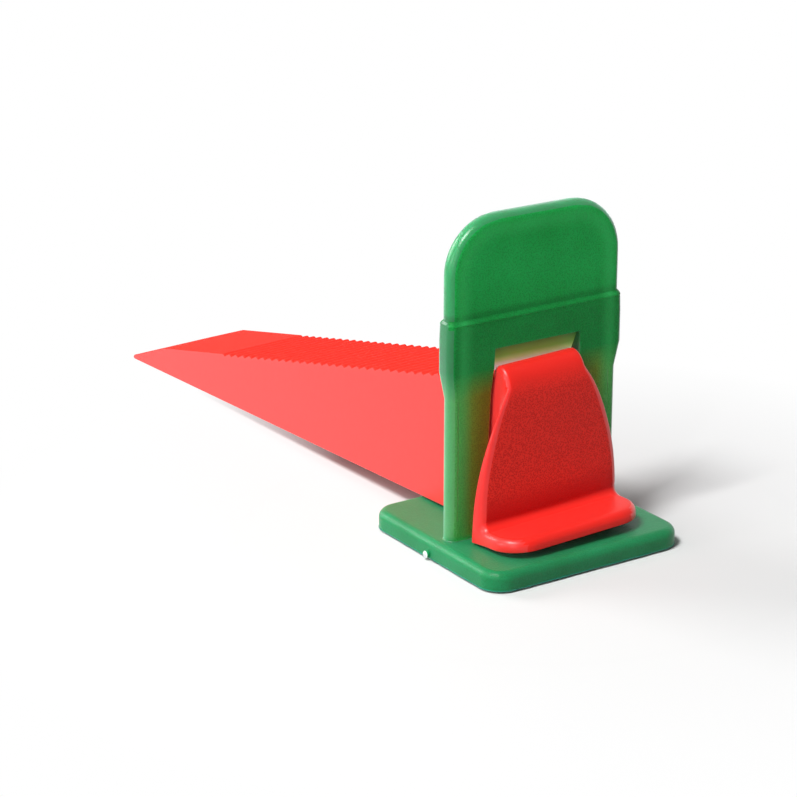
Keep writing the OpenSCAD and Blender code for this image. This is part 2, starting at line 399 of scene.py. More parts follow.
def finishClip(clip):
    s = clipSizes
    clip.data.materials.clear()
    clip.data.materials.append(greenPolypropylene("greenPolypropyleneSmooth", greenFinishes["smooth"]))
    clip.data.materials.append(greenPolypropylene("greenPolypropyleneGrained", greenFinishes["grained"]))
    clip.data.materials.append(whitenedGlowingPolypropylene())
    clip.data.materials.append(greenPolypropylene("greenPolypropylenePlate", greenFinishes["plate"]))

    slack = 0.1  # mm past a form's own lines
    flatOn = 0.9  # how far a normal points to the front or back on the web's flat faces
    slantedOn = 0.3  # and on the ledge's ramp
    underOn = 0.2  # how far it points down on the catch's bevel

    def onWebFace(face):
        height = face.calc_center_median().z
        if height <= s["baseThick"] + slack:
            return False
        onLedge = abs(height - s["collarTop"]) < 2 * s["ledgeRise"]
        return abs(face.normal.y) > (slantedOn if onLedge else flatOn)

    def onPlate(face):
        return face.calc_center_median().z < s["baseThick"] + slack / 10

    def onStrainedAndGlowing(face):
        # the catch's bevel, blushed and with a painted glow, and the torn-off gate
        middle = face.calc_center_median()
        if middle.x < s["baseSide"] - s["baseWide"] / 2 - s["gateOut"] / 2:
            return True
        inWindow = abs(middle.x) < s["windowFootHalf"] and s["catchLow"] - slack < middle.z < s["windowTop"]
        inCollar = s["catchFront"] - slack < middle.y < s["collarThick"] / 2 - slack / 2
        return inWindow and inCollar and face.normal.z < -underOn

    editPiece(clip)
    for slotNumber, test in ((1, onWebFace), (3, onPlate), (2, onStrainedAndGlowing)):
        print("  clip finish", slotNumber, "on", pick(clip, "FACE", test), "faces")
        clip.active_material_index = slotNumber
        bpy.ops.object.material_slot_assign()
    bpy.ops.object.mode_set(mode="OBJECT")


# the red wedge, drawn in its own frame: x across, y to the tip, z up from its underside

wedgeSizes = {
    "wide": 13.8, "draft": 3.0, "tip": 88.5, "tipThick": 0.6, "tipRound": 0.12, "tipDrop": 0.15,
    "bevelRun": 9.5, "bevelHigh": 3.85, "crestHigh": 18.8, "edgeRound": 0.14, "footRound": 0.14,
    "ridgePitch": 1.8, "ridgeStart": -0.75, "ridgeCount": 36,
    # along from a crest and drop: before it from the line of crests, after it from its own height
    "ridgeRise": (0.28, 0.02),
    "ridgeRows": [(0.084, 0.04), (-0.07, 0.09), (-0.31, 0.23), (-0.43, 0.275)],
    "headFront": 4.35, "headLean": 0.0209, "faceCrown": 0.2, "faceCrownRun": 4, "faceSteps": 7,
    "faceHeights": (16.8, 16.2, 15.4, 14.4, 13.2, 11.8, 10.2, 8.6, 7.0, 5.4, 4.0),
    "crownFoot": 16.8, "crownTop": (-2.3, 20.78), "crownPull": (2.5, 1.3), "crownSteps": 13,
    "crownBack": (1.1, 1.28), "crownAngles": (-40, -15, 10, 35, 60),
    "crownRim": 0.62, "crownSide": 0.75, "crownDeep": 0.92, "crownInset": 0.02,
    "crownHide": 18.3, "hideLean": -0.025, "hideDeep": 0.558,  # the body's end inside the crown
    "wingHalf": 10.45, "wingCurve": 30.6, "wingMid": 2.4,
    "wingBack": 2.6, "wingLean": 0.1126, "wingThin": 0.3,
    "neck": 18.4, "neckSlack": 0.2, "wingRound": 1.3, "wingRoundRun": 6, "rimDeep": 0.6,
    "rimPolished": 0.6, "wingBackRound": 0.1, "wingSpread": 0.25, "spreadTo": 12,
    "hollowEnd": -2.2, "hollowSteps": 5, "hollowSunk": 0.05,
    "lipFront": 10.4, "lipThick": 1.45, "lipCorner": 4.0, "lipSide": 10.45,
    "lipRound": 0.95, "lipFoot": 0.12,
    "lipAngles": (0, 10, 20, 30, 38), "lipRoot": 0.6,
    "heelDrop": 0.42, "heelRise": 0.042, "heelHeights": (2.3, 1.4, 0.5), "heelRuns": (0, 0.8, 1.6, 2.4),
    "filletRound": 1.0, "filletGap": 0.3,
}
wedgeSeat = {"x": 0.246, "z": 3.2023, "pitch": 1.9566, "roll": 1.5, "yaw": 0.93}  # mm and degrees


def bodyHalf(height):
    return wedgeSizes["wide"] / 2 - math.tan(math.radians(wedgeSizes["draft"])) * height


def crestAt(along):
    s = wedgeSizes
    bevelY = s["tip"] - s["bevelRun"]
    return s["crestHigh"] - (s["crestHigh"] - s["bevelHigh"]) / bevelY * along


def bodyRing(along, height, low=0.0, lean=0.0):
    s = wedgeSizes
    topRound = min(s["edgeRound"], (height - low) / 3)
    footRound = min(s["footRound"], (height - low) / 3)
    ring = []
    for side in (1, -1):
        run = []
        for inset, drop in reversed(rimSteps(footRound, footRound)):
            at = low + drop
            run.append(Vector((side * (bodyHalf(low) - inset), along + lean * at, at)))
        for inset, drop in rimSteps(topRound, topRound):
            at = height - drop
            run.append(Vector((side * (bodyHalf(height) - inset), along + lean * at, at)))
        ring += run if side == 1 else run[::-1]
    return ring


def drawRidgedBody():
    s = wedgeSizes
    rings = [
        bodyRing(s["tip"], s["tipThick"] - s["tipDrop"], s["tipRound"]),
        bodyRing(s["tip"] - s["tipRound"], s["tipThick"]),
        bodyRing(s["tip"] - s["bevelRun"], s["bevelHigh"]),
    ]
    for number in reversed(range(s["ridgeCount"])):
        crest = s["ridgeStart"] + number * s["ridgePitch"]
        rise = crest + s["ridgeRise"][0]
        rings.append(bodyRing(rise, crestAt(rise) - s["ridgeRise"][1]))
        for along, drop in s["ridgeRows"]:
            rings.append(bodyRing(crest + along, crestAt(crest) - drop))
    # the rest is hidden in the head and fills its crown to just inside the rim
    tops = []
    for front, inward in crownLine():
        if front.z > s["crownHide"] and inward.z < 0:
            tops.append(front + inward * s["hideDeep"])
    for number, top in enumerate(tops):
        lean = s["hideLean"] * number / len(tops)
        rings.append(bodyRing(top.y - lean * top.z, top.z, 0.0, lean))
    return drawLoft("ridgedBody", rings)


def crownLine():
    # middle line of the crown, from its back over the top to the face, with the way inwards
    s = wedgeSizes
    top = Vector((0, *s["crownTop"]))
    foot = Vector((0, faceAt(s["crownFoot"]), s["crownFoot"]))
    wide, high = s["crownBack"]
    line = []
    for angle in s["crownAngles"]:
        turn = math.radians(angle)
        out = Vector((0, wide * math.cos(turn), high * math.sin(turn)))
        line.append((top - Vector((0, 0, high)) + out, -out.normalized()))
    footPull, topPull = s["crownPull"]
    pulls = (top, top - Vector((0, topPull, 0)), foot + Vector((0, 0, footPull)), foot)
    points = interpolate_bezier(*pulls, s["crownSteps"])
    for point, following in zip(points, points[1:]):
        run = following - point
        line.append((point, Vector((0, -run.z, run.y)).normalized()))
    return line


def faceAt(height):
    return -wedgeSizes["headFront"] - wedgeSizes["headLean"] * height


def wingHalfAt(height):
    s = wedgeSizes
    return s["wingHalf"] - s["wingCurve"] + math.sqrt(s["wingCurve"] ** 2 - (height - s["wingMid"]) ** 2)


def wingRimAt(height):
    # the rim's rounding, which tightens to the neck
    s = wedgeSizes
    below = shareOf(s["neck"] - height, s["wingRoundRun"])
    return s["crownRim"] * (1 - below) + s["wingRound"] * below


def spreadAt(height):
    # how far the wing's back edge stands out past its front, towards the foot
    return wedgeSizes["wingSpread"] * shareOf(wedgeSizes["spreadTo"] - height, wedgeSizes["spreadTo"])


def underAt(along):
    # underside of heel and lip, which rises a little to the front
    s = wedgeSizes
    return -s["heelDrop"] + s["heelRise"] * (-s["wingBack"] - along)


def evenHalf(half):
    return lambda inset: half - inset


def crownRow(front, inward):
    s = wedgeSizes
    half = bodyHalf(front.z) - s["crownInset"]
    return {
        "front": front, "back": front + inward * s["crownSide"], "halfAt": evenHalf(half), "backHalf": half,
        "rim": s["crownRim"], "rimDeep": s["crownRim"],
        "root": front + inward * s["crownDeep"], "rootHalf": half - s["crownSide"], "crown": 0,
    }


def wingRow(front, inward):
    # a row across the wings, which thin out to the neck
    s = wedgeSizes
    height = front.z
    thick = max(-s["wingBack"] - s["wingLean"] * height - front.y, s["wingThin"])
    half = max(wingHalfAt(height), bodyHalf(height) - s["crownInset"])
    rim = wingRimAt(height)
    return {
        "front": front, "back": front + inward * thick, "halfAt": evenHalf(half),
        "backHalf": half + spreadAt(height), "rim": rim, "rimDeep": min(rim, thick * s["rimDeep"]),
        "root": Vector((0, s["hollowEnd"], height)), "rootHalf": bodyHalf(height) - s["hollowSunk"],
        "crown": s["faceCrown"] * shareOf(s["neck"] - height, s["faceCrownRun"]),
    }


def filletRows():
    # rows through the hollow corner between face and lip, down the heel and along its underside
    s = wedgeSizes
    centre = Vector((0, -s["headFront"] - s["filletRound"], s["lipThick"] + s["filletRound"]))
    heelY = -s["wingBack"]
    heel = [Vector((0, heelY - s["wingLean"] * height, height)) for height in s["heelHeights"]]
    heel += [Vector((0, heelY - run, underAt(heelY - run))) for run in s["heelRuns"]]
    last = len(heel) - 1
    rows = []
    for step, back in enumerate(heel):
        share = step / last
        turn = math.pi / 2 * share
        front = centre + s["filletRound"] * Vector((0, math.cos(turn), -math.sin(turn)))
        half = wingHalfAt(front.z) * (1 - share) + s["lipSide"] * share
        rim = s["wingRound"] * (1 - share) + s["lipRound"] * share
        if step < len(s["heelHeights"]):
            root = Vector((0, s["hollowEnd"], back.z))
            spread = spreadAt(back.z)
        else:
            root = back
            spread = s["wingSpread"] * (last - step) / (len(s["heelRuns"]) - 1)
        rows.append({
            "front": front, "back": back, "halfAt": evenHalf(half), "backHalf": s["lipSide"] + spread,
            "rim": rim, "rimDeep": min(rim, (back - front).length * s["rimDeep"]),
            "root": root, "rootHalf": bodyHalf(0) - s["hollowSunk"],
            "crown": s["faceCrown"] * (1 - share) ** 2,
        })
    return rows


def lipRow(gap):
    # a row across the lip, at a gap from its front
    s = wedgeSizes
    along = -s["lipFront"] + gap
    back = Vector((0, along, underAt(along)))

    def halfAt(inset):
        reach = max(0.0, s["lipCorner"] - gap)
        inside = (s["lipCorner"] - inset) ** 2 - reach ** 2
        return s["lipSide"] - s["lipCorner"] + math.sqrt(max(inside, 0))

    return {
        "front": Vector((0, along, s["lipThick"])), "back": back, "halfAt": halfAt, "backHalf": None,
        "rim": s["lipRound"], "rimDeep": s["lipRound"], "root": back, "crown": 0, "gap": gap,
    }


def headRows():
    # front and back of the head at its middle, from the crown over the face to the lip
    s = wedgeSizes
    rows = []
    for front, inward in crownLine():
        onWings = front.z < s["neck"] + s["neckSlack"] and front.y < s["crownTop"][0]
        rows.append(wingRow(front, inward) if onWings else crownRow(front, inward))
    filletTop = s["lipThick"] + s["filletRound"]
    for height in (*s["faceHeights"], filletTop + s["filletGap"]):
        rows.append(wingRow(Vector((0, faceAt(height), height)), Vector((0, 1, 0))))
    rows += filletRows()
    for angle in s["lipAngles"]:
        rows.append(lipRow(s["lipCorner"] * (1 - math.sin(math.radians(angle)))))
    for inset, drop in reversed(rimSteps(s["lipRound"], s["lipRound"])):
        rows.append(lipRow(inset))
    return rows


def headRing(row):
    # a ring round the head: crowned face, rounded rim, side, and a hollow into the wedge's side
    s = wedgeSizes
    front, back, gap = row["front"], row["back"], row.get("gap")
    through = (back - front).normalized()
    across = Vector((1, 0, 0))
    rim = rimSteps(row["rim"], row["rimDeep"], gap)
    foot = s["lipFoot"] if row["root"] == back else s["wingBackRound"]
    edge = rimSteps(foot, foot, gap)
    backHalfAt = row["halfAt"] if row["backHalf"] is None else evenHalf(row["backHalf"])
    startHalf = backHalfAt(foot)
    rootHalf = row.get("rootHalf", startHalf * s["lipRoot"])
    ring = []
    for side in (1, -1):
        sideways = across * side
        run = [front + through * drop + sideways * row["halfAt"](inset) for inset, drop in reversed(rim)]
        run += [back - through * drop + sideways * backHalfAt(inset) for inset, drop in edge]
        level = through * edge[-1][1]
        for step in range(1, s["hollowSteps"] + 1):
            turn = math.pi / 2 * step / s["hollowSteps"]
            half = rootHalf + (startHalf - rootHalf) * (1 - math.sin(turn))
            run.append(back - level + (row["root"] - back) * (1 - math.cos(turn)) + sideways * half)
        ring += run if side == 1 else run[::-1]
    flat = row["halfAt"](row["rim"])
    for step in range(1, s["faceSteps"] + 1):
        place = -1 + 2 * step / (s["faceSteps"] + 1)
        rise = rim[-1][1] - row["crown"] * (1 - place ** 2)
        ring.append(front + through * rise + across * place * flat)
    return ring


def drawHead():
    rings = [headRing(row) for row in headRows()]
    print("  head rings", len(rings))
    return drawLoft("head", rings)


def layFinishes(piece, finishes, slotNumber, test):
    # all red finishes in one order; the faces that pass the test take their own one
    piece.data.materials.clear()
    for finish in finishes:
        piece.data.materials.append(finish)
    editPiece(piece)
    pick(piece, "FACE", test)
    piece.active_material_index = slotNumber
    bpy.ops.object.material_slot_assign()
    bpy.ops.object.mode_set(mode="OBJECT")


def buildWedge():
    s = wedgeSizes
    slant = 0.3  # a face that leans more than this to a side or end belongs to it
    finishes = [
        redPolypropylene("redPolypropylenePolished", redFinishes["polished"]),
        redSparkEroded(),
        redPolypropylene("redPolypropyleneMatt", redFinishes["matt"]),
    ]

    def onTop(face):
        return face.normal.z > slant or face.normal.y < -slant

    def onThumb(face):
        middle = face.calc_center_median()
        rim = wingHalfAt(middle.z) - s["rimPolished"] * wingRimAt(middle.z)
        onRim = s["lipThick"] < middle.z < s["neck"] and abs(middle.x) > rim
        return abs(face.normal.x) < slant and not onRim

    wedge = drawRidgedBody()
    layFinishes(wedge, finishes, 2, onTop)
    head = drawHead()
    layFinishes(head, finishes, 1, onThumb)
    joinPiece(wedge, head, "UNION")
    turn = Matrix.Rotation(math.radians(wedgeSeat["yaw"]), 4, "Z")
    turn = turn @ Matrix.Rotation(math.radians(-wedgeSeat["pitch"]), 4, "X")
    turn = turn @ Matrix.Rotation(math.radians(-wedgeSeat["roll"]), 4, "Y")
    wedge.matrix_world = Matrix.Translation((wedgeSeat["x"], 0, wedgeSeat["z"])) @ turn
    choosePiece(wedge)
    bpy.ops.object.transform_apply(location=True, rotation=True, scale=True)
    wedge.name = "wedgeMoulding"
    wedge.data.name = "wedgeMoulding"
    print("wedge drawn")
    return wedge


# materials

def linearColour(hexText):
    channels = [int(hexText[at:at + 2], 16) / 255 for at in (1, 3, 5)]
    return [c / 12.92 if c <= 0.04045 else ((c + 0.055) / 1.055) ** 2.4 for c in channels] + [1.0]


def addNode(tree, kind, settings=None, links=None):
    # settings and links go by a socket's name or number; hex text is a colour, and stops fill a ramp
    node = tree.nodes.new(kind)
    for name, value in (settings or {}).items():
        if name == "stops":
            stops = node.color_ramp.elements
            stops[0].position = value[0][0]
            stops[1].position = value[-1][0]
            for spot, colour in value[1:-1]:
                stops.new(spot)
            for stop, (spot, colour) in zip(stops, value):
                stop.color = linearColour(colour) if isinstance(colour, str) else [colour] * 3 + [1.0]
        elif isinstance(name, int) or name in node.inputs:
            node.inputs[name].default_value = linearColour(value) if isinstance(value, str) else value
        else:
            setattr(node, name, value)
    for name, source in (links or {}).items():
        tree.links.new(source, node.inputs[name])
    return node


def newMaterial(name):
    material = bpy.data.materials.new(name)
    material.use_nodes = True
    material.node_tree.nodes.clear()
    return material, material.node_tree


greenPlastic = {
    "ior": 1.49, "cloudWide": 6, "grainWide": 0.2, "lightRun": 3.2, "lightRunColours": (0.7, 1.0, 0.8),
    "bloomRough": 0.4, "bloomTint": "#DDFFF6",
    # painted shade by height: darker where the collar is thick and lets less light through, and in a band
    # under its ledge
    "paintedHeightShade": [  # share of the web's height, shade: deeper in the thick collar and under its ledge
        (0.40, "#FFFFFF"), (0.50, "#D2DCD6"), (0.57, "#C8D2CC"), (0.695, "#C4D0C8"),
        (0.705, "#BAC8BE"), (0.722, "#C8D4CC"), (0.735, "#F0F4F0"), (0.80, "#FFFFFF"),
    ],
    # painted red light from the wedge, from the window's edge out to the leg's side
    "paintedRedLight": [(0.0, "#7A7414"), (0.35, "#80902C"), (0.75, "#66AC50"), (1.0, "#46985C")],
    "paintedRedLightShare": 0.85, "paintedRedLightFoot": 3.055, "glowTone": "#44CC70",
}
greenFinishes = {
    "smooth": {
        "clouds": [(0.3, "#128C4E"), (0.7, "#199858")],
        "pits": [(0.15, 0.9), (0.6, 1.0)], "grainDeep": 0.01,
        "roughness": 0.3, "gloss": 0.5, "bloom": 0.85, "wander": 1.0, "rimGlow": None,
    },
    "grained": {
        "clouds": [(0.3, "#16A448"), (0.7, "#1FB254")],
        "pits": [(0.15, 0.66), (0.6, 1.0)], "grainDeep": 0.04,
        "roughness": 0.45, "gloss": 0.1, "bloom": 0.15, "wander": 0.6,
        # painted glow inside the handle's rims, by share from its core to its rim
        "rimGlow": [(0.5, 0.0), (0.77, 0.3), (0.92, 0.0)],  # from the handle's core to its rim
    },
    "plate": {
        "clouds": [(0.3, "#0E7E48"), (0.7, "#138852")],
        "pits": [(0.15, 0.8), (0.6, 1.0)], "grainDeep": 0.02,
        "roughness": 0.38, "gloss": 0.22, "bloom": 0.22, "wander": 0.8, "rimGlow": None,
    },
}


def greenPolypropylene(name, finish):
    # natural polypropylene with green dye, moulded: light wanders through it, so rims and thin
    # places look paler and thick ones deeper, helped by painted shade in the collar and under its ledge
    # and by a painted glow inside the handle's rims; the web's faces have a fine tool grain, its edges
    # and the base plate are smoother; along the wedge the legs carry painted red light, which turns them
    # olive
    s = clipSizes
    p = greenPlastic
    material, tree = newMaterial(name)
    place = addNode(tree, "ShaderNodeTexCoord").outputs["Object"]
    axes = addNode(tree, "ShaderNodeSeparateXYZ", links={"Vector": place})
    aside = addNode(tree, "ShaderNodeMath", {"operation": "ABSOLUTE"}, {0: axes.outputs["X"]})

    # cloudy dye, with painted shade by height
    clouds = addNode(tree, "ShaderNodeTexNoise", {"Scale": 1 / (p["cloudWide"] * mm), "Detail": 3.0},
                     {"Vector": place})
    tone = addNode(tree, "ShaderNodeValToRGB", {"stops": finish["clouds"]}, {"Fac": clouds.outputs["Fac"]})
    height = addNode(tree, "ShaderNodeMapRange", {"From Max": s["webTop"] * mm},
                     {"Value": axes.outputs["Z"]})
    depth = addNode(tree, "ShaderNodeValToRGB", {"stops": p["paintedHeightShade"]},
                    {"Fac": height.outputs["Result"]})
    shadedDye = addNode(tree, "ShaderNodeMix", {"data_type": "RGBA", "blend_type": "MULTIPLY", "Factor": 1.0},
                   {"A": tone.outputs["Color"], "B": depth.outputs["Color"]})

    # painted red light from the wedge: the legs take its colour, most beside the window and from the collar
    # down to the plate
    inner = addNode(tree, "ShaderNodeMapRange", {
        "From Min": s["windowFootHalf"] * mm, "From Max": s["legWide"] / 2 * mm,
    }, {"Value": aside.outputs[0]})
    cast = addNode(tree, "ShaderNodeValToRGB", {"stops": p["paintedRedLight"]}, {"Fac": inner.outputs["Result"]})
    underCollar = addNode(tree, "ShaderNodeMapRange", {
        "From Min": s["collarLow"] * mm, "From Max": s["collarFoot"] * mm, "To Max": p["paintedRedLightShare"],
    }, {"Value": axes.outputs["Z"]})
    overPlate = addNode(tree, "ShaderNodeMapRange", {
        "From Min": s["baseThick"] * mm, "From Max": p["paintedRedLightFoot"] * mm,
    }, {"Value": axes.outputs["Z"]})
    castShare = addNode(tree, "ShaderNodeMath", {"operation": "MULTIPLY"},
                        {0: underCollar.outputs["Result"], 1: overPlate.outputs["Result"]})
    olive = addNode(tree, "ShaderNodeMix", {"data_type": "RGBA"}, {
        "Factor": castShare.outputs[0], "A": shadedDye.outputs["Result"], "B": cast.outputs["Color"],
    })

    # the real grain is finer than a pixel of the picture, so it is drawn about twice as coarse
    grain = addNode(tree, "ShaderNodeTexVoronoi", {"Scale": 1 / (p["grainWide"] * mm)}, {"Vector": place})
    pits = addNode(tree, "ShaderNodeValToRGB", {"stops": finish["pits"]},
                   {"Fac": grain.outputs["Distance"]})
    grained = addNode(tree, "ShaderNodeMix", {"data_type": "RGBA", "blend_type": "MULTIPLY", "Factor": 1.0},
                      {"A": olive.outputs["Result"], "B": pits.outputs["Color"]})
    bump = addNode(tree, "ShaderNodeBump", {"Strength": 1.0, "Distance": finish["grainDeep"] * mm},
                   {"Height": grain.outputs["Distance"]})
    colour = grained.outputs["Result"]

    # painted glow: light that comes in at the rounded rims is painted as a paler green a few millimetres
    # inside them
    if finish["rimGlow"]:
        past = []
        corner = s["handleCorner"]
        for source, core in ((aside.outputs[0], s["handleWide"] / 2 - corner),
                             (axes.outputs["Z"], s["webTop"] - corner)):
            beyond = addNode(tree, "ShaderNodeMath", {"operation": "SUBTRACT", 1: core * mm}, {0: source})
            kept = addNode(tree, "ShaderNodeMath", {"operation": "MAXIMUM", 1: 0.0}, {0: beyond.outputs[0]})
            past.append(kept.outputs[0])
        fromCore = addNode(tree, "ShaderNodeCombineXYZ", links={"X": past[0], "Z": past[1]})
        reach = addNode(tree, "ShaderNodeVectorMath", {"operation": "LENGTH"},
                        {0: fromCore.outputs["Vector"]})
        toEdge = addNode(tree, "ShaderNodeMapRange", {"From Max": corner * mm},
                         {"Value": reach.outputs["Value"]})
        glow = addNode(tree, "ShaderNodeValToRGB", {"stops": finish["rimGlow"]},
                       {"Fac": toEdge.outputs["Result"]})
        glow.color_ramp.interpolation = "EASE"
        lit = addNode(tree, "ShaderNodeMix", {"data_type": "RGBA", "B": p["glowTone"]},
                      {"Factor": glow.outputs["Color"], "A": colour})
        colour = lit.outputs["Result"]

    skin = addNode(tree, "ShaderNodeBsdfPrincipled", {
        "Roughness": finish["roughness"], "IOR": p["ior"], "Specular IOR Level": finish["gloss"],
        "Sheen Weight": finish["bloom"], "Sheen Roughness": p["bloomRough"], "Sheen Tint": p["bloomTint"],
        "Subsurface Weight": finish["wander"], "Subsurface Scale": p["lightRun"] * mm,
        "Subsurface Radius": p["lightRunColours"],
    }, {"Base Color": colour, "Normal": bump.outputs["Normal"]})
    addNode(tree, "ShaderNodeOutputMaterial", links={"Surface": skin.outputs["BSDF"]})
    return material


strainedGlowingPlastic = {
    "roughness": 0.45, "gloss": 0.25, "lightRun": 5.0, "lightRunColours": (1.0, 1.0, 0.8),
    "blushAndGlow": [(0.0, "#F4FFFC"), (0.2, "#F2FFEE"), (0.38, "#CCE6B4"), (0.6, "#96C276"), (1.0, "#4C8638")],
}


def whitenedGlowingPolypropylene():
    # the same plastic where the wedge strains it: it blushes from olive to a creamy white
    # at the thin edge of the catch, where the white is partly a painted glow of light coming through the
    # thin plastic
    s = clipSizes
    p = strainedGlowingPlastic
    material, tree = newMaterial("greenPolypropyleneWhitenedPaintedGlow")
    place = addNode(tree, "ShaderNodeTexCoord").outputs["Object"]
    axes = addNode(tree, "ShaderNodeSeparateXYZ", links={"Vector": place})
    height = addNode(tree, "ShaderNodeMapRange", {
        "From Min": s["catchLow"] * mm, "From Max": s["windowTop"] * mm,
    }, {"Value": axes.outputs["Z"]})
    tone = addNode(tree, "ShaderNodeValToRGB", {"stops": p["blushAndGlow"]}, {"Fac": height.outputs["Result"]})
    skin = addNode(tree, "ShaderNodeBsdfPrincipled", {
        "Roughness": p["roughness"], "IOR": greenPlastic["ior"], "Specular IOR Level": p["gloss"],
        "Subsurface Weight": 1.0, "Subsurface Scale": p["lightRun"] * mm,
        "Subsurface Radius": p["lightRunColours"],
    }, {"Base Color": tone.outputs["Color"]})
    addNode(tree, "ShaderNodeOutputMaterial", links={"Surface": skin.outputs["BSDF"]})
    return material


redPlastic = {
    "IOR": 1.49, "Sheen Roughness": 0.5, "Sheen Tint": "#FFE4E0",
    "Subsurface Weight": 0.2, "Subsurface Scale": 0.8 * mm, "Subsurface Radius": (1.0, 0.2, 0.1),
}
redFinishes = {
    "polished": {
        "clouds": [(0.35, "#EC1F1A"), (0.65, "#F0221D")], "grainWide": 0.9, "grainDeep": 0.004,
        "roughness": 0.36, "gloss": 0.5, "bloom": 0.3,
    },
    "matt": {
        # the matt red is paler partly as a painted sheen of the room on the ridged top
        "clouds": [(0.35, "#EE382E"), (0.65, "#F03C32")], "grainWide": 0.4, "grainDeep": 0.008,
        "roughness": 0.8, "gloss": 0.03, "bloom": 0.02,
    },
}


def redPolypropylene(name, finish):
    # pigmented polypropylene, hardly translucent: the tool is polished at the wedge's sides and
    # the head's rims, which shine softly, and matt along the ridged top, whose paler red partly stands for
    # a painted sheen
    material, tree = newMaterial(name)
    place = addNode(tree, "ShaderNodeTexCoord").outputs["Object"]
    grain = addNode(tree, "ShaderNodeTexNoise", {"Scale": 1 / (finish["grainWide"] * mm), "Detail": 2.0},
                    {"Vector": place})
    tone = addNode(tree, "ShaderNodeValToRGB", {"stops": finish["clouds"]}, {"Fac": grain.outputs["Fac"]})
    bump = addNode(tree, "ShaderNodeBump", {"Strength": 1.0, "Distance": finish["grainDeep"] * mm},
                   {"Height": grain.outputs["Fac"]})
    skin = addNode(tree, "ShaderNodeBsdfPrincipled", {
        **redPlastic, "Roughness": finish["roughness"], "Specular IOR Level": finish["gloss"],
        "Sheen Weight": finish["bloom"],
    }, {"Base Color": tone.outputs["Color"], "Normal": bump.outputs["Normal"]})
    addNode(tree, "ShaderNodeOutputMaterial", links={"Surface": skin.outputs["BSDF"]})
    return material


thumbGrain = {
    "pitWide": 0.2, "pitDeep": 0.05, "pitTones": [(0.15, "#C8160F"), (0.65, "#EE2E24")],
    # the first colour on the next line is painted shade for the corner above the lip
    "paintedCornerShade": "#C60A0A", "smoothTone": "#EE271F", "roughSmooth": 0.36, "roughGrained": 0.55,
    "gloss": 0.14, "bloom": 0.08,
    # in mm, where the grain ends and where it is full: in from the rim, below the crown, above the lip;
    # then above the lip, where the painted shade in the corner is full and where it ends
    "rimFade": (0.1, 1.0), "crownFade": (20.0, 16.6), "lipFade": (0.2, 1.2), "paintedShadeFade": (1.0, 5.0),
}


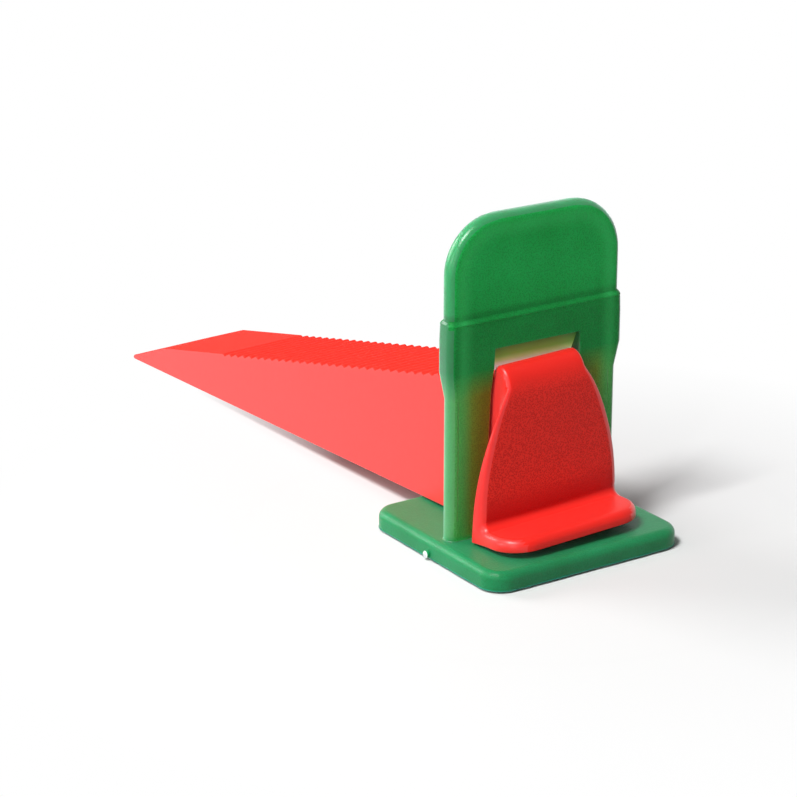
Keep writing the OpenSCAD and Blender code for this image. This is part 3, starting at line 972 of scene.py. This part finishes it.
def redSparkEroded():
    # the same red on the thumb head: its face is spark-eroded to a crisp matt grain, which fades
    # out towards the polished rim, crown and lip
    s = wedgeSizes
    p = thumbGrain
    material, tree = newMaterial("redPolypropyleneSparkEroded")
    place = addNode(tree, "ShaderNodeTexCoord").outputs["Object"]
    seat = wedgeSeat
    turns = [math.radians(turn) for turn in (-seat["pitch"], -seat["roll"], seat["yaw"])]
    inSeat = addNode(tree, "ShaderNodeMapping", {
        "vector_type": "TEXTURE", "Location": (seat["x"] * mm, 0, seat["z"] * mm), "Rotation": turns,
    }, {"Vector": place})
    axes = addNode(tree, "ShaderNodeSeparateXYZ", links={"Vector": inSeat.outputs["Vector"]})
    aside = addNode(tree, "ShaderNodeMath", {"operation": "ABSOLUTE"}, {0: axes.outputs["X"]})
    flat = addNode(tree, "ShaderNodeCombineXYZ", links={"X": aside.outputs[0], "Z": axes.outputs["Z"]})
    hub = ((s["wingHalf"] - s["wingCurve"]) * mm, 0, s["wingMid"] * mm)  # centre of the wing's curve
    fromHub = addNode(tree, "ShaderNodeVectorMath", {"operation": "DISTANCE", 1: hub},
                      {0: flat.outputs["Vector"]})
    lipTop = s["lipThick"]
    shares = []
    for source, none, full in (
        (fromHub.outputs["Value"], s["wingCurve"] - p["rimFade"][0], s["wingCurve"] - p["rimFade"][1]),
        (axes.outputs["Z"], *p["crownFade"]),
        (axes.outputs["Z"], lipTop + p["lipFade"][0], lipTop + p["lipFade"][1]),
        (axes.outputs["Z"], lipTop + p["paintedShadeFade"][0], lipTop + p["paintedShadeFade"][1]),
    ):
        fade = addNode(tree, "ShaderNodeMapRange", {
            "interpolation_type": "SMOOTHSTEP", "From Min": none * mm, "From Max": full * mm,
        }, {"Value": source})
        shares.append(fade.outputs["Result"])
    fromRim, fromCrown, fromLip, paintedShadeShare = shares
    upper = addNode(tree, "ShaderNodeMath", {"operation": "MULTIPLY"}, {0: fromRim, 1: fromCrown})
    inner = addNode(tree, "ShaderNodeMath", {"operation": "MULTIPLY"}, {0: upper.outputs[0], 1: fromLip})
    mask = inner.outputs[0]

    # the pits are drawn about twice as coarse as they are, so that they show at all, and run
    # out to a painted shade of deep red in the corner above the lip
    grain = addNode(tree, "ShaderNodeTexVoronoi", {"Scale": 1 / (p["pitWide"] * mm)}, {"Vector": place})
    pits = addNode(tree, "ShaderNodeValToRGB", {"stops": p["pitTones"]}, {"Fac": grain.outputs["Distance"]})
    deep = addNode(tree, "ShaderNodeMix", {"data_type": "RGBA", "A": p["paintedCornerShade"]},
                   {"Factor": paintedShadeShare, "B": pits.outputs["Color"]})
    tone = addNode(tree, "ShaderNodeMix", {"data_type": "RGBA", "A": p["smoothTone"]},
                   {"Factor": mask, "B": deep.outputs["Result"]})
    depth = addNode(tree, "ShaderNodeMath", {"operation": "MULTIPLY"},
                    {0: grain.outputs["Distance"], 1: mask})
    bump = addNode(tree, "ShaderNodeBump", {"Strength": 1.0, "Distance": p["pitDeep"] * mm},
                   {"Height": depth.outputs[0]})
    rough = addNode(tree, "ShaderNodeMapRange", {"To Min": p["roughSmooth"], "To Max": p["roughGrained"]},
                    {"Value": mask})
    skin = addNode(tree, "ShaderNodeBsdfPrincipled", {
        **redPlastic, "Specular IOR Level": p["gloss"], "Sheen Weight": p["bloom"],
    }, {
        "Base Color": tone.outputs["Result"], "Normal": bump.outputs["Normal"],
        "Roughness": rough.outputs["Result"],
    })
    addNode(tree, "ShaderNodeOutputMaterial", links={"Surface": skin.outputs["BSDF"]})
    return material


# camera, floor and light

cameraSizes = {
    "azimuth": -33.327, "elevation": 19.43, "distance": 305.53, "target": (-19.094, 0, 21.854),
    "lens": 117.97, "sensor": 36.0, "nearest": 10, "farthest": 20000,
}


def placeCamera():
    s = cameraSizes
    around = math.radians(s["azimuth"])
    up = math.radians(s["elevation"])
    back = Vector((math.sin(around) * math.cos(up), -math.cos(around) * math.cos(up), math.sin(up)))
    lens = bpy.data.cameras.new("photoCamera")
    lens.lens = s["lens"]
    lens.sensor_width = s["sensor"]
    lens.clip_start = s["nearest"] * mm
    lens.clip_end = s["farthest"] * mm
    camera = bpy.data.objects.new("photoCamera", lens)
    bpy.context.scene.collection.objects.link(camera)
    camera.location = (Vector(s["target"]) + back * s["distance"]) * mm
    camera.rotation_mode = "QUATERNION"
    camera.rotation_quaternion = (-back).to_track_quat("-Z", "Y")
    bpy.context.scene.camera = camera


lightAim = (0, 15, 12)
lightSizes = {
    "key": {"place": (-807, -190, 1261), "size": (380, 380), "power": 23.0},
    "back": {"place": (-500, 900, 420), "size": (500, 500), "power": 6.8},
    "fill": {"place": (-900, 100, 250), "size": (300, 300), "power": 1.8},
    "edge": {"place": (-608, -416, 140), "size": (30, 500), "power": 1.1},
}


def placeLights():
    for name, s in lightSizes.items():
        lamp = bpy.data.lights.new(name, "AREA")
        lamp.shape = "RECTANGLE"
        lamp.size = s["size"][0] * mm
        lamp.size_y = s["size"][1] * mm
        lamp.energy = s["power"]
        light = bpy.data.objects.new(name, lamp)
        bpy.context.scene.collection.objects.link(light)
        light.location = Vector(s["place"]) * mm
        light.rotation_mode = "QUATERNION"
        light.rotation_quaternion = (Vector(lightAim) - Vector(s["place"])).to_track_quat("-Z", "Y")


def seenDirectly(tree):
    # 1 where the camera, a reflection or a clear part looks, 0 for light that is thrown about
    rays = addNode(tree, "ShaderNodeLightPath").outputs
    shown = addNode(tree, "ShaderNodeMath", {"operation": "MAXIMUM"},
                    {0: rays["Is Camera Ray"], 1: rays["Is Glossy Ray"]})
    return addNode(tree, "ShaderNodeMath", {"operation": "MAXIMUM"},
                   {0: shown.outputs[0], 1: rays["Is Transmission Ray"]}).outputs[0]


roomLight = 0.15  # how strongly the white room lights the part


def paintWorld():
    world = bpy.data.worlds.new("studio")
    bpy.context.scene.world = world
    world.use_nodes = True
    tree = world.node_tree
    tree.nodes.clear()
    room = addNode(tree, "ShaderNodeBackground", {"Color": "#FFFFFF", "Strength": roomLight})
    white = addNode(tree, "ShaderNodeBackground", {"Color": "#FFFFFF", "Strength": 1.0})
    shown = {0: seenDirectly(tree), 1: room.outputs[0], 2: white.outputs[0]}
    mix = addNode(tree, "ShaderNodeMixShader", links=shown)
    addNode(tree, "ShaderNodeOutputWorld", links={"Surface": mix.outputs[0]})


floorSizes = {
    "radius": 3000, "sides": 64, "under": 0.3, "shadeTo": 36, "whiteFrom": 72,
    "toneSeen": "#E2E2E2", "toneThrown": "#B6B6B6",
}


def layFloor():
    # near the object the floor shows its shadow, further out it fades to plain white
    s = floorSizes
    clearSelection()
    bpy.ops.mesh.primitive_circle_add(vertices=s["sides"], radius=s["radius"] * mm, fill_type="NGON")
    bpy.ops.transform.translate(value=(0, 0, -s["under"] * mm))  # moulding flash holds the plate off it
    bpy.ops.object.transform_apply(location=True, rotation=True, scale=True)
    floor = bpy.context.object
    floor.name = "floor"
    material, tree = newMaterial("paleFloor")
    place = addNode(tree, "ShaderNodeTexCoord").outputs["Object"]
    seen = seenDirectly(tree)
    far = addNode(tree, "ShaderNodeVectorMath", {"operation": "LENGTH"}, {0: place})
    fade = addNode(tree, "ShaderNodeMapRange", {
        "From Min": s["shadeTo"] * mm, "From Max": s["whiteFrom"] * mm,
    }, {"Value": far.outputs["Value"]})
    share = addNode(tree, "ShaderNodeMath", {"operation": "MULTIPLY"}, {0: seen, 1: fade.outputs["Result"]})
    # the paper looks pale, but throws less light back on the part than a white one would
    tone = addNode(tree, "ShaderNodeMix", {"data_type": "RGBA", "A": s["toneThrown"], "B": s["toneSeen"]},
                   {"Factor": seen})
    paper = addNode(tree, "ShaderNodeBsdfDiffuse", links={"Color": tone.outputs["Result"]})
    white = addNode(tree, "ShaderNodeEmission", {"Color": "#FFFFFF", "Strength": 1.0})
    shown = {0: share.outputs[0], 1: paper.outputs[0], 2: white.outputs[0]}
    mix = addNode(tree, "ShaderNodeMixShader", links=shown)
    addNode(tree, "ShaderNodeOutputMaterial", links={"Surface": mix.outputs[0]})
    floor.data.materials.append(material)


bpy.context.scene.view_settings.view_transform = "Standard"
placeCamera()
placeLights()
paintWorld()
layFloor()
print("camera, lights and floor placed")

clip = buildClip()
finishClip(clip)
bringHome(clip, "clip")

wedge = buildWedge()
bringHome(wedge, "wedge")
